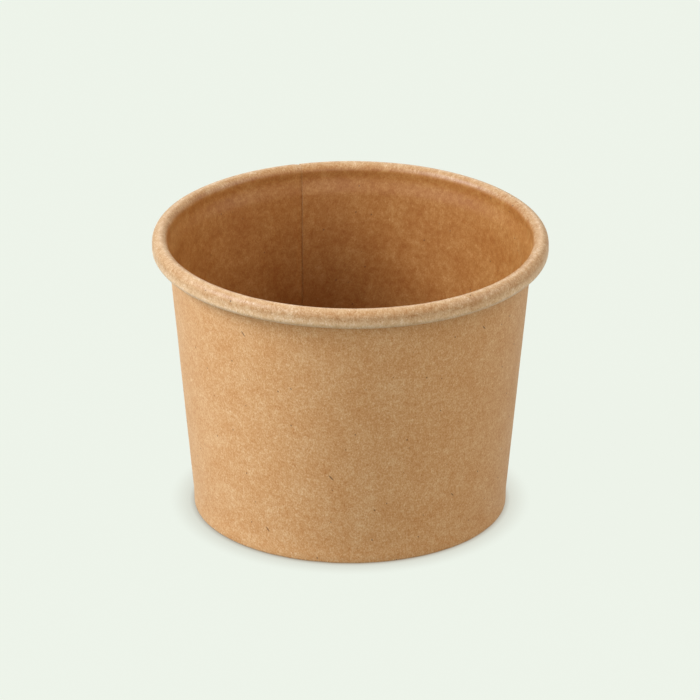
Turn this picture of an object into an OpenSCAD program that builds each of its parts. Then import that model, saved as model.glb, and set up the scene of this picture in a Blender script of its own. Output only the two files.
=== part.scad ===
// Paper soup bowl. Two pieces of kraft board: a wrapped sidewall and a base disc.
// The axis of the bowl is Z and the table is z = 0.

/* [Overall] */
// Outside diameter over the rolled rim
rim_d = 90; // [76:1:130]
// Height from the table to the top of the rolled rim
height = 65.9; // [40:0.1:110]
// Outside diameter of the wall where its line meets the table
foot_d = 71; // [56:1:100]

/* [Board] */
// Thickness of the sidewall board
wall_t = 0.4; // [0.3:0.01:0.5]
// Thickness of the base board
base_t = 0.4; // [0.3:0.01:0.55]

/* [Rolled rim] */
// Width of the roll, from the inside of the wall to its outer face
roll_w = 3.5; // [2.8:0.1:4.2]
// Height of the roll
roll_h = 4.5; // [4.2:0.1:7]
// Space inside the roll between the wall and the tucked end of the board
roll_gap = 0.15; // [0.1:0.05:0.4]
// Length of the tucked end that bends round the inside of the roll
tuck_l = 1; // [0.4:0.1:1.2]
// Height of the flare that leads the wall up into the roll
flare_h = 3; // [1:0.5:6]
// How far the wall comes out between the foot of the flare and the roll
flare_w = 0.9; // [0.3:0.1:2]

/* [Side seam] */
// Width of the overlap, measured round the wall
lap_w = 8; // [4:0.5:14]
// Place of the raw edge inside the bowl, in degrees anticlockwise from +X
seam_turn = 105.4; // [0:0.1:360]
// Width over which the outer layer comes down to the inside beside that edge
ramp_w = 1.5; // [0.8:0.1:3]

/* [Base and foot] */
// Height of the underside of the base panel above the table
base_h = 8; // [6:0.5:14]
// Outer radius of the bend between the base panel and its skirt
bend_r = 0.8; // [0.7:0.1:1.4]
// Distance from the top of the hem up to the underside of the base panel
hem_drop = 1.5; // [1.2:0.1:3]
// Distance from the raw edge of the skirt down to the fold of the foot
skirt_drop = 0.3; // [0.1:0.1:1.5]
// Thickness of the seal on each face of the skirt
seal_t = 0.02; // [0.01:0.01:0.05]
// Radius of the two corners of the fold that the bowl stands on
fold_r = 0.4; // [0.2:0.05:0.5]

/* [Hidden] */
kraft = "#b88c5c";
rim_r = rim_d / 2;
// Radius at which the straight wall ends below the roll, on its inner face
neck_r = rim_r - roll_w;
// Height of the foot of the flare
flare_z = height - roll_h - flare_h;
lean = atan((neck_r + wall_t - flare_w - foot_d / 2) / flare_z);
base_top = base_h + base_t;
hem_top = base_h - hem_drop;
// The skirt clears the fold where the board is double
skirt_z = 2 * wall_t + skirt_drop;
seam_r = (rim_d + foot_d) / 4;
ramp_steps = 3;
// Turns of the seam's stretches, in whole hundredths of a degree so that they meet exactly
lap_turn = round(lap_w / seam_r * 18000 / PI) / 100;
step_turn = round(ramp_w / ramp_steps / seam_r * 18000 / PI) / 100;
round_fn = 64;
bend_steps = 6;
$fn = 180;

// Width of a leaning layer, measured level
function across(t) = t / cos(lean);

// Radius of the wall's inner face at height z
function wall_in(z) = foot_d / 2 - across(wall_t) + z * tan(lean);

// Radii of the two faces of the skirt, and of the hem's face against it, at height z
function skirt_out(z) = wall_in(z) - seal_t;
function skirt_in(z) = skirt_out(z) - across(base_t);
function hem_out(z) = skirt_in(z) - seal_t;

// Part of a ring of board in section, between two directions in degrees
module arc_board(centre, r_out, thick, from, to) {
    quarter = (to - from) / 4;
    wedge = [for (a = [from : quarter : to]) 2 * r_out * [cos(a), sin(a)]];
    translate(centre) intersection() {
        difference() {
            circle(r_out, $fn = round_fn);
            circle(r_out - thick, $fn = round_fn);
        }
        polygon(concat([[0, 0]], wedge));
    }
}

// Points along an arc, between two directions in degrees
function arc_points(centre, r, from, to, steps) =
    [for (i = [0 : steps])
        let(a = from + (to - from) * i / steps) centre + r * [cos(a), sin(a)]];

// Outline of the rounded corner where a leaning face would reach the table at radius r.
// side is 1 for the face of the wall and -1 for the face of the hem
function fold_corner(r, side) =
    let(centre = [r - side * fold_r / tan((90 + side * lean) / 2), fold_r])
    side == 1 ? arc_points(centre, fold_r, 270, 360 - lean, bend_steps)
              : arc_points(centre, fold_r, 180 - lean, 270, bend_steps);

// Radius of the lower turn of the roll. Where the board is double it is pressed tighter
function low_turn(thick, shift) = (roll_w - shift - thick - roll_gap * wall_t / thick) / 2;

// The roll in section. shift is how far the wall stands out from its normal line. Where the
// board is double, the corner of one layer is cut off, so that the tucked end is single
module roll_section(thick, shift) {
    top_r = (roll_w - shift) / 2;
    low_r = low_turn(thick, shift);
    tuck_r = 2 * low_r - top_r;
    top = [rim_r - top_r, height - top_r];
    low = [rim_r - low_r, height - roll_h + low_r];
    side_h = top[1] - low[1];
    arc_board(top, top_r, thick, 0, 180);
    translate([rim_r - thick, low[1]]) square([thick, side_h]);
    arc_board(low, low_r, thick, 180, 360);
    translate([rim_r - 2 * low_r, low[1]]) square([wall_t, side_h]);
    arc_board(top, tuck_r, wall_t, 180 - tuck_l / tuck_r * 180 / PI, 180);
}

// The wall, the fold of the foot and the hem in section
module wall_section(thick, shift) {
    top_z = height - (roll_w - shift) / 2;
    low_z = height - roll_h + low_turn(thick, shift);
    out = across(shift);
    layer = across(thick);
    polygon(concat(
        [[hem_out(hem_top) - out - layer, hem_top]],
        fold_corner(hem_out(0) - out - layer, -1),
        fold_corner(wall_in(0) + out + layer, 1),
        [
            [wall_in(flare_z) + out + layer, flare_z],
            [neck_r + shift + thick, low_z],
            [neck_r + shift + thick, top_z],
            [neck_r + shift, top_z],
            [neck_r + shift, low_z],
            [wall_in(flare_z) + out, flare_z],
            [wall_in(thick) + out, thick],
            [hem_out(thick) - out, thick],
            [hem_out(hem_top) - out, hem_top]
        ]
    ));
}

// A length of the wrapped board, in degrees round the bowl
module wall_stretch(start, turn, layers, shift) {
    rotate_extrude(angle = turn, start = start) {
        wall_section(layers * wall_t, shift);
        roll_section(layers * wall_t, shift);
    }
}

// One board wrapped round, lapped and sealed at the side seam, rolled out and down at the
// rim, and turned in and up at the foot
module sidewall() {
    color(kraft) {
        wall_stretch(seam_turn - lap_turn, lap_turn, 2, 0);
        for (i = [0 : ramp_steps - 1])
            wall_stretch(seam_turn + i * step_turn, step_turn, 1,
                         wall_t * (ramp_steps - i) / (ramp_steps + 1));
        wall_stretch(seam_turn + ramp_steps * step_turn, 360 - lap_turn - ramp_steps * step_turn, 1, 0);
    }
}

// A flat round panel whose edge is turned down into a skirt, held between wall and hem
module base_disc() {
    bend = [skirt_out(base_top) - bend_r / tan((90 - lean) / 2), base_top - bend_r];
    color(kraft) rotate_extrude() polygon(concat(
        [[0, base_h]],
        arc_points(bend, bend_r - base_t, 90, -lean, bend_steps),
        [[skirt_in(skirt_z), skirt_z], [skirt_out(skirt_z), skirt_z]],
        arc_points(bend, bend_r, -lean, 90, bend_steps),
        [[0, base_top]]
    ));
}

sidewall();
base_disc();
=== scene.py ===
"""A kraft paper soup bowl of two boards: a wrapped sidewall with a rolled rim, and a base disc."""

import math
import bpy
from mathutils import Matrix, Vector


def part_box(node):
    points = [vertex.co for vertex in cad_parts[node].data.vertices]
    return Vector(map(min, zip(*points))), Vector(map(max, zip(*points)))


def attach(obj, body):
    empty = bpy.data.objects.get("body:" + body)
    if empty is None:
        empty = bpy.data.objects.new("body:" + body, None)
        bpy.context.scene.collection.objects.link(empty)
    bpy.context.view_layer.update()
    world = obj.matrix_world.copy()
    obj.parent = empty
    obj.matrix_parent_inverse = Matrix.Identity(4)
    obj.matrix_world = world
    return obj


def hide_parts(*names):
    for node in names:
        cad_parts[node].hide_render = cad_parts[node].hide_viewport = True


bl_info = {
    "name": "Kraft soup bowl",
    "version": (1, 0, 0),
    "blender": (4, 5, 0),
    "location": "View3D > Sidebar > Soup bowl",
    "description": "Builds a kraft soup bowl with a rolled rim, a side seam and a folded foot",
    "category": "Add Mesh",
}

import bpy
from bpy.props import FloatProperty, FloatVectorProperty, PointerProperty
from mathutils import Vector

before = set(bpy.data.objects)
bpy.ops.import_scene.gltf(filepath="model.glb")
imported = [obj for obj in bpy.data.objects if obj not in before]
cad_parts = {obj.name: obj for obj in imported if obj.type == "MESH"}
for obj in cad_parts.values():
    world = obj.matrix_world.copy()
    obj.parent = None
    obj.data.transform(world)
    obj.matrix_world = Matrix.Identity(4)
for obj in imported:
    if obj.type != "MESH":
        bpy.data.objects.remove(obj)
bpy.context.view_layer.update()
WALL_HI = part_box("sidewall")[1]
BASE_LO, BASE_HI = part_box("base_disc")

MM = 0.001
BOARD = 0.4 * MM
SEAL = 0.02 * MM
UV_NAME = "board"
# The two profiles along the board that its vertices carry
ROLLED, PALE = "rolled", "pale"
# Direction of the bowl's front, from +X
FRONT = math.radians(270)
# Height over which the spread and the wave of the foot fade
FOOT_FADE = 4 * MM


class BowlSizes(bpy.types.PropertyGroup):
    """Sizes of the bowl's two pieces of board"""

    rim_diameter: FloatProperty(
        name="Rim diameter",
        description="Outside diameter over the rolled rim",
        default=2 * WALL_HI.x,
        unit="LENGTH",
    )
    height: FloatProperty(
        name="Height",
        description="From the table to the top of the roll",
        default=WALL_HI.z,
        unit="LENGTH",
    )
    foot_diameter: FloatProperty(
        name="Foot diameter",
        description="Outside diameter of the wall where its line meets the table",
        default=71.0 * MM,
        unit="LENGTH",
    )
    board: FloatProperty(
        name="Board",
        description="Thickness of the board",
        default=BOARD,
        unit="LENGTH",
    )
    roll_width: FloatProperty(
        name="Roll width",
        description="From the inside of the wall to the outside of the roll",
        default=3.5 * MM,
        unit="LENGTH",
    )
    roll_height: FloatProperty(
        name="Roll height",
        description="From the lowest to the highest point of the roll",
        default=4.5 * MM,
        unit="LENGTH",
    )
    flare_width: FloatProperty(
        name="Flare width",
        description="How far the wall comes out between the foot of the flare and the roll",
        default=0.9 * MM,
        unit="LENGTH",
    )
    flare_height: FloatProperty(
        name="Flare height",
        description="Height of the flare below the roll",
        default=3.0 * MM,
        unit="LENGTH",
    )
    lap: FloatProperty(
        name="Lap",
        description="Turn over which the two ends of the board overlap at the side seam",
        default=math.radians(11.4),
        subtype="ANGLE",
    )
    seam_place: FloatProperty(
        name="Seam place",
        description="Direction of the raw edge inside the bowl, from +X, at the table",
        default=math.radians(107.9),
        subtype="ANGLE",
    )
    seam_lean: FloatProperty(
        name="Seam lean",
        description="Turn of the seam between the table and the rim",
        default=math.radians(-2.6),
        subtype="ANGLE",
    )
    oval: FloatProperty(
        name="Oval",
        description="How far the rim is out of round",
        default=0.2 * MM,
        unit="LENGTH",
    )
    warp: FloatProperty(
        name="Warp",
        description="How far the rim rises at the front left and falls at the front right",
        default=0.45 * MM,
        unit="LENGTH",
    )
    foot_flare: FloatProperty(
        name="Foot flare",
        description="How far the folded foot stands out from the line of the wall",
        default=0.22 * MM,
        unit="LENGTH",
    )
    dish: FloatProperty(
        name="Dish",
        description="How far the base panel bows up at its middle",
        default=0.3 * MM,
        unit="LENGTH",
    )


class BowlColours(bpy.types.PropertyGroup):
    """Colours of the board and of the ground"""

    outside: FloatVectorProperty(
        name="Outside",
        description="Bare kraft face, outside the bowl",
        default=(0.562, 0.298, 0.120),
        subtype="COLOR",
    )
    # Darker and deeper than the outside: the coated face's own colour with painted shade of the
    # bowl's hollow in it
    inside: FloatVectorProperty(
        name="Inside",
        description="Coated kraft face, inside the bowl and over the roll",
        default=(0.362, 0.148, 0.033),
        subtype="COLOR",
    )
    # Mixed in over the roll by its pale profile: burnished kraft, and also a painted highlight on
    # the crest and painted light from below on the outer face
    roll: FloatVectorProperty(
        name="Roll",
        description="Kraft stretched and burnished pale over the roll",
        default=(0.720, 0.500, 0.290),
        subtype="COLOR",
    )
    roll_plain: FloatVectorProperty(
        name="Roll, plain",
        description="Kraft over the roll where it isn't burnished",
        default=(0.400, 0.200, 0.070),
        subtype="COLOR",
    )
    cut_edge: FloatVectorProperty(
        name="Cut edge",
        description="Raw edge of the board",
        default=(0.560, 0.360, 0.190),
        subtype="COLOR",
    )
    ground: FloatVectorProperty(
        name="Ground",
        description="Pale floor and background",
        default=(0.860, 0.910, 0.828),
        subtype="COLOR",
    )


def arc(centre, radius, start, end, steps):
    """Points along an arc in section, without its first point. Angles are in degrees."""
    turn = math.radians(end - start) / steps
    first = math.radians(start)
    return [
        centre + radius * Vector((math.cos(first + turn * i), math.sin(first + turn * i)))
        for i in range(1, steps + 1)
    ]


def line(start, end, step):
    """Points along a straight stretch in section, without its first point."""
    count = max(1, round((end - start).length / step))
    return [start.lerp(end, i / count) for i in range(1, count + 1)]


def ease(t):
    """Smooth step from 0 to 1."""
    t = min(1.0, max(0.0, t))
    return t * t * (3 - 2 * t)


class Section:
    """The middle line of the sidewall board in section, from the hem's edge to the tucked edge."""

    FOLD_RADIUS = 0.25 * MM
    ROLL_GAP = 0.15 * MM
    TUCK_DEGREES = 50
    HEM_TOP = 6.5 * MM
    # Lengths of the steps along the straight stretches
    HEM_STEP, FOLD_STEP, WALL_STEP, ROLL_STEP = 1.0 * MM, 0.2 * MM, 1.6 * MM, 0.5 * MM
    # Numbers of steps along the bends
    FOLD_STEPS, FLARE_STEPS, TOP_STEPS, LOW_STEPS, TUCK_STEPS = 5, 10, 18, 14, 4

    def __init__(self, sizes):
        self.foot_flare = sizes.foot_flare
        half = sizes.board / 2
        rim = sizes.rim_diameter / 2
        neck = rim - sizes.roll_width
        self.flare_z = sizes.height - sizes.roll_height - sizes.flare_height
        foot = sizes.foot_diameter / 2
        flare_out = neck + sizes.board - sizes.flare_width
        self.slope = (flare_out - foot) / self.flare_z
        self.lean = math.atan(self.slope)
        self.layer = sizes.board / math.cos(self.lean)
        self.foot = foot
        hem_gap = 2 * self.layer + 2 * SEAL

        top_radius = sizes.roll_width / 2
        low_radius = (sizes.roll_width - sizes.board - self.ROLL_GAP) / 2
        top = Vector((rim - top_radius, sizes.height - top_radius))
        low = Vector((rim - low_radius, sizes.height - sizes.roll_height + low_radius))
        mid_top, mid_low = top_radius - half, low_radius - half
        tuck_radius = 2 * low_radius - top_radius - half

        lean_degrees = math.degrees(self.lean)
        out_tan = math.tan(math.radians(45 + lean_degrees / 2))
        in_tan = math.tan(math.radians(45 - lean_degrees / 2))
        fold = self.FOLD_RADIUS
        wall_foot = self.wall(half)
        hem_foot = wall_foot - hem_gap
        out_centre = Vector((wall_foot - fold / out_tan, half + fold))
        in_centre = Vector((hem_foot + fold / in_tan, half + fold))

        hem_top = Vector((self.wall(self.HEM_TOP) - hem_gap, self.HEM_TOP))
        in_start = in_centre + fold * Vector((-math.cos(self.lean), math.sin(self.lean)))
        points = [hem_top]
        points += line(hem_top, in_start, self.HEM_STEP)
        points += arc(in_centre, fold, 180 - lean_degrees, 270, self.FOLD_STEPS)
        self.fold_from = len(points) - 1
        points += line(points[-1], Vector((out_centre.x, half)), self.FOLD_STEP)
        self.fold_to = len(points) - 1
        points += arc(out_centre, fold, 270, 360 - lean_degrees, self.FOLD_STEPS)
        self.wall_from = len(points) - 1
        flare_foot = Vector((self.wall(self.flare_z), self.flare_z))
        points += line(points[-1], flare_foot, self.WALL_STEP)
        self.flare_from = len(points) - 1
        points += self.flare(flare_foot, Vector((neck + half, low.y)))
        self.roll_from = len(points) - 1
        points += line(points[-1], Vector((neck + half, top.y)), self.ROLL_STEP)
        points += arc(top, mid_top, 180, 0, self.TOP_STEPS)
        points += line(points[-1], Vector((rim - half, low.y)), self.ROLL_STEP)
        points += arc(low, mid_low, 0, -180, self.LOW_STEPS)
        points += line(points[-1], Vector((points[-1].x, top.y)), self.ROLL_STEP)
        points += arc(top, tuck_radius, 180, 180 - self.TUCK_DEGREES, self.TUCK_STEPS)
        self.points = [self.flared(point) for point in points]
        self.lengths = [0.0]
        for a, b in zip(points, points[1:]):
            self.lengths.append(self.lengths[-1] + (b - a).length)

    def wall(self, z):
        """Radius of the middle of the straight wall at height z."""
        return self.foot - self.layer / 2 + self.slope * z

    def flared(self, point):
        """The point moved out with the foot, where the crimping of the fold has spread it."""
        out = self.foot_flare * (1 - ease(point.y / FOOT_FADE))
        return Vector((point.x + out, point.y))

    def flare(self, start, end):
        """Points of the flare: it leaves along the wall and ends upright."""
        rise = end.y - start.y
        points = []
        for i in range(1, self.FLARE_STEPS + 1):
            t = i / self.FLARE_STEPS
            straight = start.x + self.slope * rise * t
            out = (end.x - start.x - self.slope * rise) * ease(t)
            points.append(Vector((straight + out, start.y + rise * t)))
        return points


def deselect_all():
    """Leaves no object selected and none being edited."""
    if bpy.context.object and bpy.context.object.mode != "OBJECT":
        bpy.ops.object.mode_set(mode="OBJECT")
    bpy.ops.object.select_all(action="DESELECT")


def start_outline(name, points, turn):
    """Traces an outline in the upright plane at turn, with a vertex extruded along its points."""
    across = Vector((math.cos(turn), math.sin(turn), 0.0))
    places = [across * p.x + Vector((0.0, 0.0, p.y)) for p in points]
    deselect_all()
    bpy.ops.mesh.primitive_plane_add(size=BOARD, location=places[0])
    bpy.ops.object.transform_apply(location=True, rotation=False, scale=False)
    piece = bpy.context.object
    piece.name = name
    piece.data.name = name
    bpy.ops.object.mode_set(mode="EDIT")
    bpy.ops.mesh.merge(type="CENTER")
    for a, b in zip(places, places[1:]):
        bpy.ops.mesh.extrude_region_move(TRANSFORM_OT_translate={"value": b - a})
    bpy.ops.mesh.select_all(action="SELECT")
    return piece


def spin_outline(turn, steps, merge=False):
    """Sweeps the selected outline anticlockwise round the axis and leaves its end selected."""
    bpy.ops.mesh.spin(
        steps=steps, angle=-turn, use_auto_merge=merge, center=(0, 0, 0), axis=(0, 0, 1)
    )


def outline_order(piece, points):
    """Which point of the outline each vertex of the traced mesh is, in the mesh's own order."""
    bpy.ops.object.mode_set(mode="OBJECT")
    order = []
    for vertex in piece.data.vertices:
        place = Vector((vertex.co.xy.length, vertex.co.z))
        order.append(min(range(len(points)), key=lambda i: (points[i] - place).length))
    bpy.ops.object.mode_set(mode="EDIT")
    if sorted(order) != list(range(len(points))):
        raise RuntimeError("the outline's points don't match its mesh")
    return order


def face_outwards(piece, sample):
    """Turns the sheet's faces so that the one nearest to the sample looks away from the axis."""
    bpy.ops.object.mode_set(mode="OBJECT")
    nearest = min(piece.data.polygons, key=lambda face: (face.center - sample).length)
    outward = Vector((sample.x, sample.y, 0.0))
    if nearest.normal.dot(outward) < 0:
        bpy.ops.object.mode_set(mode="EDIT")
        bpy.ops.mesh.select_all(action="SELECT")
        bpy.ops.mesh.flip_normals()
        bpy.ops.object.mode_set(mode="OBJECT")


def weight_group(piece, name, weights):
    """Adds a vertex group with one weight for each vertex."""
    group = piece.vertex_groups.new(name=name)
    for index, weight in enumerate(weights):
        if weight > 0:
            group.add([index], weight, "REPLACE")
    return group.name


def apply_modifier(piece, name, kind, **settings):
    """Adds a modifier with these settings and applies it."""
    modifier = piece.modifiers.new(name, kind)
    for key, value in settings.items():
        setattr(modifier, key, value)
    bpy.context.view_layer.objects.active = piece
    bpy.ops.object.modifier_apply(modifier=modifier.name)


def clouds(name, size):
    """A soft noise for slight unevenness of the board."""
    texture = bpy.data.textures.new(name, "CLOUDS")
    texture.noise_scale = size
    texture.noise_depth = 1
    return texture


def thicken(piece, thickness, group=""):
    """Gives a sheet its board's thickness, with the coated face inside and raw edges round it."""
    apply_modifier(
        piece,
        "Board",
        "SOLIDIFY",
        thickness=thickness,
        offset=0.0,
        use_even_offset=True,
        use_quality_normals=True,
        use_rim=True,
        vertex_group=group,
        thickness_vertex_group=PRESSED,
        material_offset=1,
        material_offset_rim=2,
    )
    deselect_all()
    piece.select_set(True)
    bpy.context.view_layer.objects.active = piece
    bpy.ops.object.shade_smooth_by_angle(angle=SMOOTH_ANGLE)


# Angle up to which two faces are shaded as one
SMOOTH_ANGLE = math.radians(38)
# Thickness of the board at its thinnest, where the raw edge is pressed into the seam, as a share
PRESSED = 0.25
# How far the seam is pressed in the plain wall, between not at all and fully
WALL_PRESSED = 0.7
# Lengths along the board over which the full press of the fold and of the roll begins
FOLD_BLEND, ROLL_BLEND = 1.2 * MM, 4 * MM
# Thickness of each layer where the seam is pressed flat, as a share of the board
LAYER_PRESSED = 0.42
# Moves of the two pressed layers from the middle line, as shares of the board
OUTER_PRESSED, INNER_PRESSED = 0.2, 0.23
# Move of an unpressed layer from the middle line, as a share of the board
LAYER_MOVE = 1.03
# Turn beside the inner raw edge over which that layer thins out, and by what share
EDGE_TURN, EDGE_THINNED = math.radians(1.2), 0.35
# Turn of the slope beside the inner raw edge
SLOPE_TURN = math.radians(2.4)
# Numbers of steps round the lap, the slope and the rest of the sheet
LAP_STEPS, SLOPE_STEPS, ROUND_STEPS = 14, 12, 200
# Profiles along the roll, in millimetres from the top of the flare. The coated face changes into
# the roll's finish from one place and over one length
BEGUN_FROM, BEGUN_OVER = 0.85, 2.4
# The roll is burnished this pale all over; a painted highlight adds to that on its crest, and
# painted light from below makes its outer face paler
PLAIN_PALE, CREST_HIGHLIGHT, OUTER_LIGHT_FROM_BELOW = 0.22, 0.25, 0.72
CREST_FROM, CREST_RISE, CREST_TO, CREST_FALL = 3.2, 0.9, 5.2, 1.6
OUTER_FROM, OUTER_RISE = 4.8, 3.2
# Rise of the rim at the four corners of its cage, as shares of the warp
RIM_RISES = {(-1, -1): 1.3, (1, -1): -1.4, (-1, 1): -0.7, (1, 1): 0.4}
# How far the foot stands to one side
FOOT_SHIFT = 0.1 * MM
# Depth and size of the wall's swells, and the heights from which and over which they begin
WALL_UNEVEN, WALL_SWELL, UNEVEN_FROM, UNEVEN_OVER = 0.12 * MM, 18 * MM, 1 * MM, 10 * MM
# Depth and size of the waves of the foot, and the value of their noise that stays on the table
FOOT_UNEVEN, FOOT_SWELL, FOOT_LEVEL = 0.2 * MM, 5 * MM, 0.1


def pressed_share(section, index):
    """How far the seam is pressed at a point: least in the wall, 1 in the fold and the roll."""
    length = section.lengths[index]
    fold_low = section.lengths[section.fold_from]
    fold_high = section.lengths[section.fold_to]
    fold = ease(1 - (length - fold_high) / FOLD_BLEND) * ease(1 - (fold_low - length) / FOLD_BLEND)
    flare_low = section.lengths[section.flare_from]
    roll = ease((length - flare_low) / ROLL_BLEND)
    return max(WALL_PRESSED, fold, roll)


def lap_weights(section, spots, sizes, outer_edge):
    """For each vertex: its moves out and in at the seam, and how full the board's thickness is."""
    outer_end = outer_edge + sizes.lap
    inner_start = outer_edge + 2 * math.pi
    inner_end = inner_start + sizes.lap
    pressed = [pressed_share(section, i) for i in range(len(section.points))]
    out_weights, in_weights, full_weights = [], [], []
    for turn, index in spots:
        over = 1 - ease((turn - outer_end) / SLOPE_TURN)
        under = ease((turn - inner_start) / SLOPE_TURN + 1)
        share = pressed[index]
        out_weights.append(over * (1 - share * (1 - OUTER_PRESSED)))
        in_weights.append(under * share * INNER_PRESSED)
        thick = 1 - share * (1 - LAYER_PRESSED) * max(over, under)
        thick *= 1 - EDGE_THINNED * ease((turn - inner_end) / EDGE_TURN + 1)
        full_weights.append((thick - PRESSED) / (1 - PRESSED))
    return out_weights, in_weights, full_weights


def spread_board(piece, section, spots):
    """Writes the sheet's UV map: the blank laid flat, in metres, with the bowl's front upright."""
    sine = math.sin(section.lean)
    reach = section.wall(0) / sine
    wall_start = section.lengths[section.wall_from]
    places = []
    for turn, index in spots:
        flat_turn = (turn - FRONT) * sine
        far = reach + section.lengths[index] - wall_start
        places.append((far * math.sin(flat_turn), far * math.cos(flat_turn) - reach))
    layer = piece.data.uv_layers.new(name=UV_NAME)
    for loop in piece.data.loops:
        layer.data[loop.index].uv = places[loop.vertex_index]


def mark_roll(piece, section, spots):
    """Writes two profiles along the board: how far the roll has begun, and how pale it is,
    burnished, with a painted highlight on its crest and painted light from below on its outer face.
    """
    start = section.lengths[section.roll_from]
    begun, pale = [], []
    for length in section.lengths:
        along = (length - start) / MM
        begun.append(min(1.0, max(0.0, (along - BEGUN_FROM) / BEGUN_OVER)))
        # Painted highlight over the roll's crest
        crest = ease((along - CREST_FROM) / CREST_RISE) * ease((CREST_TO - along) / CREST_FALL)
        # Painted light from below on the roll's outer face and lower edge
        outer = ease((along - OUTER_FROM) / OUTER_RISE)
        pale.append(max(PLAIN_PALE + CREST_HIGHLIGHT * crest, OUTER_LIGHT_FROM_BELOW * outer))
    write_profile(piece, ROLLED, [begun[index] for turn, index in spots])
    write_profile(piece, PALE, [pale[index] for turn, index in spots])


def write_profile(piece, name, values):
    """Writes one value for each vertex, for the finishes to read."""
    layer = piece.data.attributes.new(name, "FLOAT", "POINT")
    layer.data.foreach_set("value", values)


def check_rings(piece, section, spots):
    """Stops if a swept vertex isn't at its own turn and point of the outline."""
    for vertex, (turn, index) in zip(piece.data.vertices, spots, strict=True):
        point = section.points[index]
        place = Vector((point.x * math.cos(turn), point.x * math.sin(turn), point.y))
        if (vertex.co - place).length > SEAL:
            raise RuntimeError("the sidewall's rings are out of order")


def shape_rim(piece, sizes):
    """Makes the rim oval and warped, fading to nothing at the foot, and moves the foot aside."""
    deselect_all()
    bpy.ops.object.add(type="LATTICE", location=(0, 0, sizes.height / 2))
    cage = bpy.context.object
    cage.scale = (sizes.rim_diameter, sizes.rim_diameter, sizes.height)
    pull = sizes.oval / sizes.rim_diameter
    warp = sizes.warp / sizes.height
    for point in cage.data.points:
        x, y, z = point.co
        side_x, side_y = math.copysign(1, x), math.copysign(1, y)
        if z > 0:
            rise = RIM_RISES[side_x, side_y] * warp
            point.co_deform = (x - pull * side_y, y - pull * side_x, z + rise)
        else:
            point.co_deform = (x - FOOT_SHIFT / sizes.rim_diameter, y, z)
    bpy.context.view_layer.update()
    apply_modifier(piece, "Rim", "LATTICE", object=cage)
    bpy.data.objects.remove(cage)


class MakeSidewall(bpy.types.Operator):
    """Wrap, lap, roll and fold the sidewall board"""

    bl_idname = "soup_bowl.make_sidewall"
    bl_label = "Make the sidewall"

    def execute(self, context):
        sizes = context.scene.bowl_sizes
        section = Section(sizes)
        outer_edge = sizes.seam_place - sizes.lap
        passes = [
            (sizes.lap, LAP_STEPS),
            (SLOPE_TURN, SLOPE_STEPS),
            (2 * math.pi - SLOPE_TURN, ROUND_STEPS),
        ]
        wall = start_outline("bowl_wall", section.points, outer_edge)
        order = outline_order(wall, section.points)
        turns = [outer_edge]
        for turn, steps in passes:
            spin_outline(turn, steps)
            turns += [turns[-1] + turn / steps * (i + 1) for i in range(steps)]
        bpy.ops.object.mode_set(mode="OBJECT")
        spots = [(turn, index) for turn in turns for index in order]
        check_rings(wall, section, spots)
        face_outwards(wall, Vector((0, -section.wall(sizes.height / 2), sizes.height / 2)))
        spread_board(wall, section, spots)
        mark_roll(wall, section, spots)

        out_weights, in_weights, full_weights = lap_weights(section, spots, sizes, outer_edge)
        over = weight_group(wall, "over", out_weights)
        under = weight_group(wall, "under", in_weights)
        full = weight_group(wall, "full", full_weights)
        move = LAYER_MOVE * sizes.board
        for name, strength, group in (("Over", move, over), ("Under", -move, under)):
            apply_modifier(
                wall, name, "DISPLACE", strength=strength, mid_level=0.0, vertex_group=group
            )
        shape_rim(wall, sizes)
        high = [ease((v.co.z - UNEVEN_FROM) / UNEVEN_OVER) for v in wall.data.vertices]
        apply_modifier(
            wall, "Uneven", "DISPLACE", strength=WALL_UNEVEN, texture=clouds("uneven", WALL_SWELL),
            vertex_group=weight_group(wall, "uneven", high),
        )
        low = [1 - ease(v.co.z / FOOT_FADE) for v in wall.data.vertices]
        apply_modifier(
            wall, "Foot", "DISPLACE", strength=FOOT_UNEVEN, mid_level=FOOT_LEVEL, direction="Z",
            texture=clouds("foot", FOOT_SWELL), vertex_group=weight_group(wall, "foot", low),
        )
        apply_modifier(
            wall, "Seam lean", "SIMPLE_DEFORM", deform_method="TWIST", deform_axis="Z",
            angle=sizes.seam_lean,
        )
        finish_board(wall)
        thicken(wall, sizes.board, full)
        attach(wall, "root")
        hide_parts("sidewall")
        return {"FINISHED"}


# Outer radius of the bend between the base panel and its skirt
BEND_RADIUS = 0.8 * MM
# Radius of the middle of the panel, which is closed with a grid
HUB_RADIUS = 1.0 * MM
# Steps of the disc's outline: their lengths along skirt and panel, and their number in the bend
SKIRT_STEP, PANEL_STEP, BEND_STEPS = 0.8 * MM, 2.0 * MM, 7
# Number of steps round the disc
DISC_STEPS = 180
# Where the disc lies on the map of the pattern, clear of the wall, in metres, and the share of
# its height that spreads the skirt out
DISC_PLACE, DISC_SPREAD = (0.2, -0.1), 0.5


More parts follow.
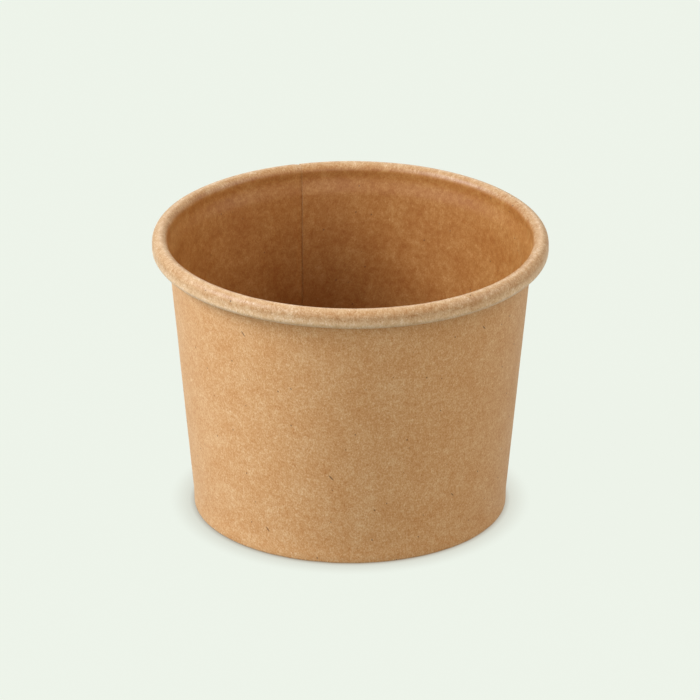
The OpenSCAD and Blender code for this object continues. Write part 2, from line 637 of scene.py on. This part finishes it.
class MakeBaseDisc(bpy.types.Operator):
    """Press the base disc and its skirt"""

    bl_idname = "soup_bowl.make_base_disc"
    bl_label = "Make the base disc"

    def execute(self, context):
        sizes = context.scene.bowl_sizes
        section = Section(sizes)
        half = sizes.board / 2
        bend = BEND_RADIUS - half
        panel_z = BASE_HI.z - half
        lean_degrees = math.degrees(section.lean)
        skirt = section.wall(panel_z) - section.layer - SEAL
        bend_tan = math.tan(math.radians(45 - lean_degrees / 2))
        centre = Vector((skirt - bend / bend_tan, panel_z - bend))
        bend_end = centre + bend * Vector((math.cos(section.lean), -math.sin(section.lean)))
        skirt_foot = Vector((section.wall(BASE_LO.z) - section.layer - SEAL, BASE_LO.z))
        points = [skirt_foot]
        points += line(skirt_foot, bend_end, SKIRT_STEP)
        points += arc(centre, bend, -lean_degrees, 90, BEND_STEPS)
        panel = line(points[-1], Vector((HUB_RADIUS, panel_z)), PANEL_STEP)
        for point in panel:
            point.y += sizes.dish * (1 - (point.x / centre.x) ** 2) ** 2
        points = [section.flared(point) for point in points + panel]
        disc = start_outline("bowl_base", points, FRONT)
        spin_outline(2 * math.pi, DISC_STEPS, merge=True)
        bpy.ops.mesh.select_all(action="SELECT")
        bpy.ops.mesh.remove_doubles(threshold=SEAL / 10)
        bpy.ops.mesh.select_all(action="DESELECT")
        bpy.ops.object.mode_set(mode="OBJECT")
        for edge in disc.data.edges:
            ends = [disc.data.vertices[v].co.xy.length for v in edge.vertices]
            edge.select = max(ends) < 1.5 * HUB_RADIUS
        bpy.ops.object.mode_set(mode="EDIT")
        bpy.ops.mesh.select_mode(type="EDGE")
        bpy.ops.mesh.fill_grid()
        face_outwards(disc, Vector((0, -skirt_foot.x, skirt_foot.y)))
        layer = disc.data.uv_layers.new(name=UV_NAME)
        for loop in disc.data.loops:
            place = disc.data.vertices[loop.vertex_index].co
            across = place.x + DISC_PLACE[0]
            along = place.y + DISC_PLACE[1] - place.z * DISC_SPREAD
            layer.data[loop.index].uv = (across, along)
        for name in (ROLLED, PALE):
            write_profile(disc, name, [0.0] * len(disc.data.vertices))
        finish_board(disc, coated_first=True)
        thicken(disc, sizes.board)
        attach(disc, "root")
        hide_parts("base_disc")
        return {"FINISHED"}


def finish_board(piece, coated_first=False):
    """Gives a board piece its three finishes: front face, back face and raw edge."""
    finishes = [kraft_outside, kraft_coated]
    if coated_first:
        finishes.reverse()
    for finish in finishes + [kraft_cut_edge]:
        made = bpy.data.materials.get(finish.__name__)
        piece.data.materials.append(made or finish(bpy.context.scene.bowl_colours))


def new_group(name, inputs, outputs):
    """An empty shader node group with these sockets: (name, kind, default)."""
    group = bpy.data.node_groups.new(name, "ShaderNodeTree")
    for label, kind, default in inputs:
        socket = group.interface.new_socket(name=label, in_out="INPUT", socket_type=kind)
        if default is not None:
            socket.default_value = default
    for label, kind in outputs:
        group.interface.new_socket(name=label, in_out="OUTPUT", socket_type=kind)
    return group


class Wiring:
    """Short calls for placing and joining nodes in one tree."""

    def __init__(self, tree):
        self.tree = tree

    def put(self, socket, value):
        """Joins a socket to another node's output, or sets its value."""
        if isinstance(value, bpy.types.NodeSocket):
            self.tree.links.new(value, socket)
        else:
            socket.default_value = value

    def node(self, kind, inputs=None, **settings):
        """A node of that kind with these inputs and settings."""
        node = self.tree.nodes.new(kind)
        for key, value in settings.items():
            setattr(node, key, value)
        for key, value in (inputs or {}).items():
            self.put(node.inputs[key], value)
        return node

    def math(self, operation, a, b=0.0):
        return self.node("ShaderNodeMath", {0: a, 1: b}, operation=operation).outputs[0]

    def mix(self, factor, a, b, blend="MIX"):
        """Two colours mixed."""
        node = self.node("ShaderNodeMix", data_type="RGBA", blend_type=blend)
        for index, value in ((0, factor), (6, a), (7, b)):
            self.put(node.inputs[index], value)
        return node.outputs[2]

    def remap(self, value, low, high, to_low=0.0, to_high=1.0):
        """A value carried smoothly from one range to another."""
        ends = {"From Min": low, "From Max": high, "To Min": to_low, "To Max": to_high}
        return self.node(
            "ShaderNodeMapRange", {"Value": value, **ends}, interpolation_type="SMOOTHSTEP"
        ).outputs["Result"]

    def swing(self, noise, amount):
        """A noise made to swing about 0, by an amount."""
        return self.math("MULTIPLY", self.math("SUBTRACT", noise, 0.5), amount)

    def stretch(self, vector, turn, scale):
        """Turns the pattern anticlockwise, then makes it finer by the scale along its own axes."""
        sizes = [1 / value for value in scale]
        return self.node(
            "ShaderNodeMapping",
            {"Vector": vector, "Rotation": (0, 0, math.radians(turn)), "Scale": sizes},
            vector_type="TEXTURE",
        ).outputs["Vector"]

    def noise(self, vector, scale, detail=2.0, roughness=0.5, distortion=0.0):
        """A flat noise."""
        looks = {"Scale": scale, "Detail": detail, "Roughness": roughness, "Distortion": distortion}
        return self.node(
            "ShaderNodeTexNoise", {"Vector": vector, **looks}, noise_dimensions="2D"
        ).outputs["Fac"]

    def curls(self, vector, scale, width, shift):
        """Thin winding lines where a noise crosses its middle, broken into short lengths."""
        moved = self.node("ShaderNodeVectorMath", {0: vector, 1: (shift, -shift, 0)}).outputs[0]
        noise = self.noise(moved, scale, detail=1.0, distortion=0.4)
        off = self.math("ABSOLUTE", self.math("SUBTRACT", noise, 0.5))
        lines = self.remap(off, 0.0, width, 1.0, 0.0)
        gaps = self.remap(self.noise(moved, scale * 0.8, detail=0.0), 0.44, 0.56)
        return self.math("MULTIPLY", lines, gaps)

    def specks(self, vector, scale, chance, reach, soft):
        """Separate specks, one in some of a Voronoi pattern's cells, of differing sizes."""
        cells = self.node(
            "ShaderNodeTexVoronoi", {"Vector": vector, "Scale": scale, "Randomness": 1.0},
            voronoi_dimensions="2D",
        )
        draw = self.node("ShaderNodeSeparateColor", {"Color": cells.outputs["Color"]}).outputs[0]
        size = self.remap(draw, 1 - chance, 1.0)
        edge = self.math("SUBTRACT", cells.outputs["Distance"], self.math("MULTIPLY", size, reach))
        speck = self.remap(edge, -soft, soft, 1.0, 0.0)
        return self.math("MULTIPLY", speck, self.remap(size, 0.0, 0.06))


# Hairs of the pulp: turn, frequency, and strength as a share of the fibres', pale below 0
HAIRS = ((48, 0.6, -0.9), (-31, 0.65, -0.9), (12, 0.7, 1.1), (80, 0.75, -0.9))
# Strengths of the winding fibres, pale and dark, and of the dark dots, in the same way
LIGHT_FIBRES, DARK_FIBRES, DOTS = -1.0, 1.1, 1.8
SHIVE_COLOUR = (0.10, 0.045, 0.02, 1.0)
# The pattern's map is in metres, its frequencies are to the millimetre
PER_MM = (1000, 1000, 1000)


def fibre_group():
    """Kraft board's pattern. The pulp varies the density of the colour, not its light."""
    name = "Kraft board"
    if name in bpy.data.node_groups:
        return bpy.data.node_groups[name]
    group = new_group(
        name,
        [
            ("Vector", "NodeSocketVector", None),
            ("Colour", "NodeSocketColor", (0.5, 0.28, 0.12, 1.0)),
            ("Cloud", "NodeSocketFloat", 0.16),
            ("Blotch", "NodeSocketFloat", 0.17),
            ("Mottle", "NodeSocketFloat", 0.6),
            ("Fibre", "NodeSocketFloat", 0.16),
            ("Streak", "NodeSocketFloat", 0.04),
            ("Shives", "NodeSocketFloat", 0.75),
        ],
        [("Colour", "NodeSocketColor"), ("Height", "NodeSocketFloat")],
    )
    wire = Wiring(group)
    given = wire.node("NodeGroupInput").outputs
    per_mm = wire.stretch(given["Vector"], 0, PER_MM)
    tall = wire.stretch(per_mm, 0, (1.25, 0.88, 1))
    streaky = wire.stretch(per_mm, 0, (0.9, 0.05, 1))
    mottle = wire.noise(tall, scale=2.1, detail=3.0, roughness=0.85)
    density = 1.0
    for value, amount in (
        (wire.noise(per_mm, scale=0.15, detail=3.0, roughness=0.55), given["Cloud"]),
        (wire.noise(per_mm, scale=0.7, detail=2.0, roughness=0.5), given["Blotch"]),
        (mottle, given["Mottle"]),
        (wire.noise(streaky, scale=1.0, detail=2.0, roughness=0.5), given["Streak"]),
    ):
        part = wire.swing(value, wire.math("MULTIPLY", amount, 2.0))
        density = wire.math("ADD", part, density)

    wide = wire.curls(tall, scale=1.25, width=0.05, shift=0.0)
    fine = wire.curls(tall, scale=0.9, width=0.035, shift=17.0)
    light = wire.math("MINIMUM", wire.math("ADD", wide, fine), 1.0)
    dark = wire.curls(tall, scale=1.05, width=0.05, shift=41.0)
    dots = wire.specks(tall, scale=0.8, chance=0.3, reach=0.12, soft=0.1)
    fibres = [(light, LIGHT_FIBRES), (dark, DARK_FIBRES), (dots, DOTS)]
    for turn, scale, strength in HAIRS:
        lengthwise = wire.stretch(per_mm, turn, (2.0, 0.5, 1))
        hairs = wire.specks(lengthwise, scale, chance=0.4, reach=0.09, soft=0.05)
        fibres.append((hairs, strength))
    for pattern, strength in fibres:
        share = wire.math("MULTIPLY", given["Fibre"], strength)
        density = wire.math("ADD", density, wire.math("MULTIPLY", pattern, share))
    colour = wire.node("ShaderNodeGamma", {"Color": given["Colour"], "Gamma": density}).outputs[0]

    crumbs = wire.stretch(per_mm, 20, (1.0, 0.75, 1))
    shives = wire.specks(crumbs, scale=0.3, chance=0.26, reach=0.05, soft=0.015)
    splinters = wire.stretch(per_mm, 40, (2.4, 0.55, 1))
    dashes = wire.specks(splinters, scale=0.075, chance=0.12, reach=0.03, soft=0.008)
    marks = wire.math("MULTIPLY", wire.math("MAXIMUM", shives, dashes), given["Shives"])
    colour = wire.mix(marks, colour, SHIVE_COLOUR)

    height = wire.math("SUBTRACT", light, dark)
    height = wire.math("ADD", height, wire.math("MULTIPLY", mottle, 1.5))
    wire.node("NodeGroupOutput", {"Colour": colour, "Height": height})
    return group


def new_material(name):
    """A material with only its output, and short calls for its tree."""
    material = bpy.data.materials.new(name)
    material.use_nodes = True
    material.node_tree.nodes.clear()
    return material, Wiring(material.node_tree)


def board_pattern(wire, colour, **amounts):
    """Places the kraft pattern on the piece's own map."""
    group = wire.node("ShaderNodeGroup", node_tree=fibre_group())
    flat = wire.node("ShaderNodeUVMap", uv_map=UV_NAME).outputs["UV"]
    for key, value in {"Vector": flat, "Colour": colour, **amounts}.items():
        wire.put(group.inputs[key], value)
    return group.outputs["Colour"], group.outputs["Height"]


# Depth of the pattern's bumps at full strength
BUMP_DEPTH = 0.05 * MM


def finish_surface(wire, colour, height, bump, **shader):
    """Joins colour and bump to one surface shader and the material's output."""
    normal = wire.node(
        "ShaderNodeBump", {"Height": height, "Strength": bump, "Distance": BUMP_DEPTH}
    ).outputs["Normal"]
    inputs = {"Base Color": colour, "Normal": normal}
    inputs.update({key.replace("_", " "): value for key, value in shader.items()})
    surface = wire.node("ShaderNodeBsdfPrincipled", inputs)
    wire.node("ShaderNodeOutputMaterial", {"Surface": surface.outputs[0]})


def opaque(colour):
    """The four channels of a set colour."""
    return (*colour, 1.0)


def kraft_outside(colours):
    """Bare kraft outside the bowl, with the pale nap that uncoated board shows at a low angle."""
    material, wire = new_material("kraft_outside")
    colour, height = board_pattern(wire, opaque(colours.outside))
    finish_surface(
        wire, colour, height, bump=0.07, Roughness=0.55, Specular_IOR_Level=0.2,
        Sheen_Weight=0.05, Sheen_Roughness=0.55,
    )
    return material


def kraft_coated(colours):
    """Kraft with a thin food-safe film: the inside, darkened with painted shade, and the roll,
    where it is burnished pale and carries a painted highlight and painted light from below.
    """
    material, wire = new_material("kraft_coated")
    flat = wire.node("ShaderNodeUVMap", uv_map=UV_NAME).outputs["UV"]
    per_mm = wire.stretch(flat, 0, PER_MM)
    rolled = wire.node("ShaderNodeAttribute", attribute_name=ROLLED).outputs["Fac"]
    pale = wire.node("ShaderNodeAttribute", attribute_name=PALE).outputs["Fac"]
    wander = wire.swing(wire.noise(per_mm, scale=0.11, detail=3.0, roughness=0.5), 0.5)
    begun = wire.remap(wire.math("ADD", rolled, wander), 0.15, 0.85)
    rubbed_and_lit = wire.swing(wire.noise(per_mm, scale=0.5, detail=3.0, roughness=0.6), 0.45)
    # Random rubbed tone and burnishing, plus the painted highlight on the crest and painted light
    # from below on the outer face, from the pale profile
    rubbed_and_lit = wire.math("MULTIPLY", begun, wire.math("ADD", pale, rubbed_and_lit))
    over = wire.mix(rubbed_and_lit, opaque(colours.roll_plain), opaque(colours.roll))
    base = wire.mix(begun, opaque(colours.inside), over)
    mottle = wire.remap(begun, 0.0, 1.0, to_low=0.32, to_high=0.6)
    fibre = wire.remap(begun, 0.0, 1.0, to_low=0.08, to_high=0.2)
    colour, height = board_pattern(
        wire, base, Cloud=0.2, Blotch=0.2, Mottle=mottle, Fibre=fibre
    )
    gloss = wire.remap(begun, 0.0, 1.0, to_low=0.5, to_high=0.3)
    finish_surface(
        wire, colour, height, bump=0.07, Roughness=0.45, Specular_IOR_Level=gloss,
        Coat_Weight=wire.math("MULTIPLY", begun, 0.1), Coat_Roughness=0.5,
    )
    return material


def kraft_cut_edge(colours):
    """Raw edge of the board."""
    material, wire = new_material("kraft_cut_edge")
    colour, height = board_pattern(wire, opaque(colours.cut_edge), Shives=0.2)
    finish_surface(wire, colour, height, bump=0.3, Roughness=0.8, Specular_IOR_Level=0.1)
    return material


# The photograph's camera, found by fitting the bowl's outline
CAMERA_DISTANCE = 1.8
CAMERA_RISE = math.radians(23.75)
CAMERA_FOCUS_PX = 7882
CAMERA_PIVOT = Vector((0.0, 0.0, 32 * MM))
CAMERA_AIM = Vector((-0.09 * MM, 0.0, 37.1 * MM))
CAMERA_END = 10.0
SENSOR = 36.0
PHOTO_SIDE = 700


def add_camera():
    """Looks at the bowl from the photograph's place."""
    away = Vector((0, -math.cos(CAMERA_RISE), math.sin(CAMERA_RISE)))
    place = CAMERA_PIVOT + CAMERA_DISTANCE * away
    bpy.ops.object.camera_add(location=place)
    camera = bpy.context.object
    camera.rotation_euler = (CAMERA_AIM - place).to_track_quat("-Z", "Y").to_euler()
    camera.data.sensor_width = SENSOR
    camera.data.lens = CAMERA_FOCUS_PX / PHOTO_SIDE * SENSOR
    camera.data.clip_end = CAMERA_END
    bpy.context.scene.camera = camera


# Slight tints of the light: cooler from the left, warmer elsewhere
COOL, WHITE, WARM = (0.93, 1.0, 1.12), (1.0, 1.0, 1.0), (1.03, 0.985, 0.92)
# Soft lamps round the bowl: name, place and width in metres, power in watts, and tint
LAMPS = (
    ("key", (-1.1, -0.2, 0.95), 0.7, 21.2, COOL),
    ("left_low", (-1.35, -0.3, 0.4), 0.7, 2.2, COOL),
    ("left_front", (-0.95, -0.95, 0.7), 0.7, 5.3, COOL),
    ("front", (0.2, -1.5, 0.5), 0.9, 5.7, WARM),
    ("right_low", (1.3, -0.3, 0.6), 0.7, 5.1, WHITE),
    ("right_high", (1.0, 0.1, 1.0), 0.7, 4.9, WARM),
    ("back", (0.0, 1.2, 0.9), 0.7, 3.2, WARM),
)
LAMP_AIM = Vector((0, 0, 40 * MM))
SKY_LIGHT = 0.22
FLOOR_SIZE = 12.0
# Share of the floor's colour that lights the bowl from below
FLOOR_BOUNCE = 0.35
# Share of the floor's own colour where it is seen. The matt part makes up the rest
FLOOR_SHOWN = 0.98
# The shadow where bowl and floor meet: reach and depth of its two parts, and its tint
CONTACT = ((6 * MM, 0.56), (1.2 * MM, 0.6))
CONTACT_TINT = (0.25, 0.12, 0.04)


def add_lamp(name, place, size, power, tint):
    """A soft round lamp that looks at the bowl."""
    bpy.ops.object.light_add(type="AREA", location=place)
    lamp = bpy.context.object
    lamp.name = name
    lamp.data.shape = "DISK"
    lamp.data.size = size
    lamp.data.energy = power
    lamp.data.color = tint
    lamp.rotation_euler = (LAMP_AIM - Vector(place)).to_track_quat("-Z", "Y").to_euler()


def seen_directly(wire):
    """1 for rays that show the surroundings: from the camera, by gloss and through glass."""
    path = wire.node("ShaderNodeLightPath").outputs
    gloss = wire.math("MAXIMUM", path["Is Glossy Ray"], path["Is Transmission Ray"])
    return wire.math("MAXIMUM", path["Is Camera Ray"], gloss)


def ground_material(colour):
    """A pale floor that keeps the bowl's shadow where they meet, and isn't seen from below."""
    material, wire = new_material("pale_floor")
    bounced = opaque([FLOOR_BOUNCE * c for c in colour])
    matt = wire.node("ShaderNodeBsdfDiffuse", {"Color": bounced}).outputs[0]
    open_share = 1.0
    for reach, depth in CONTACT:
        near = wire.node("ShaderNodeAmbientOcclusion", {"Distance": reach}, samples=16)
        shade = wire.math("SUBTRACT", 1.0, near.outputs["AO"])
        shade = wire.math("MULTIPLY", shade, depth)
        open_share = wire.math("MULTIPLY", wire.math("SUBTRACT", 1.0, shade), open_share)
    tone = wire.mix(open_share, opaque(CONTACT_TINT), opaque(WHITE))
    tone = wire.mix(1.0, tone, opaque(colour), "MULTIPLY")
    glow = wire.node("ShaderNodeEmission", {"Color": tone, "Strength": 1.0}).outputs[0]
    seen = wire.math("MULTIPLY", seen_directly(wire), FLOOR_SHOWN)
    shown = wire.node("ShaderNodeMixShader", {0: seen, 1: matt, 2: glow}).outputs[0]
    clear = wire.node("ShaderNodeBsdfTransparent").outputs[0]
    below = wire.node("ShaderNodeNewGeometry").outputs["Backfacing"]
    both = wire.node("ShaderNodeMixShader", {0: below, 1: shown, 2: clear}).outputs[0]
    wire.node("ShaderNodeOutputMaterial", {"Surface": both})
    return material


def sky(wire, colour, strength):
    """One even background."""
    inputs = {"Color": opaque(colour), "Strength": strength}
    return wire.node("ShaderNodeBackground", inputs).outputs[0]


def light_world(colour):
    """An even pale sky: white light on the bowl, and the ground's colour where it is seen."""
    world = bpy.data.worlds.new("studio")
    world.use_nodes = True
    world.node_tree.nodes.clear()
    wire = Wiring(world.node_tree)
    light, shown = sky(wire, WHITE, SKY_LIGHT), sky(wire, colour, 1.0)
    seen = seen_directly(wire)
    both = wire.node("ShaderNodeMixShader", {0: seen, 1: light, 2: shown}).outputs[0]
    wire.node("ShaderNodeOutputWorld", {"Surface": both})
    bpy.context.scene.world = world


class SetStage(bpy.types.Operator):
    """Lay the floor, hang the lamps and set the camera"""

    bl_idname = "soup_bowl.set_stage"
    bl_label = "Set the stage"

    def execute(self, context):
        colours = context.scene.bowl_colours
        deselect_all()
        bpy.ops.mesh.primitive_plane_add(size=FLOOR_SIZE, location=(0, 0, 0))
        floor = context.object
        floor.name = "floor"
        floor.data.materials.append(ground_material(colours.ground))
        light_world(colours.ground)
        for lamp in LAMPS:
            add_lamp(*lamp)
        add_camera()
        context.scene.view_settings.view_transform = "Standard"
        return {"FINISHED"}


class SoupBowlPanel(bpy.types.Panel):
    """The bowl's sizes, colours and steps"""

    bl_idname = "VIEW3D_PT_soup_bowl"
    bl_label = "Soup bowl"
    bl_space_type = "VIEW_3D"
    bl_region_type = "UI"
    bl_category = "Soup bowl"

    def draw(self, context):
        for group in (context.scene.bowl_sizes, context.scene.bowl_colours):
            for key in group.bl_rna.properties.keys():
                if key not in ("rna_type", "name"):
                    self.layout.prop(group, key)
        for step in STEPS:
            self.layout.operator(step.bl_idname)


STEPS = (MakeSidewall, MakeBaseDisc, SetStage)
CLASSES = (BowlSizes, BowlColours, *STEPS, SoupBowlPanel)


def register():
    for each in CLASSES:
        bpy.utils.register_class(each)
    bpy.types.Scene.bowl_sizes = PointerProperty(type=BowlSizes)
    bpy.types.Scene.bowl_colours = PointerProperty(type=BowlColours)


def unregister():
    del bpy.types.Scene.bowl_colours
    del bpy.types.Scene.bowl_sizes
    for each in reversed(CLASSES):
        bpy.utils.unregister_class(each)


def main():
    register()
    bpy.ops.soup_bowl.make_sidewall()
    bpy.ops.soup_bowl.make_base_disc()
    bpy.ops.soup_bowl.set_stage()


if __name__ == "__main__":
    main()
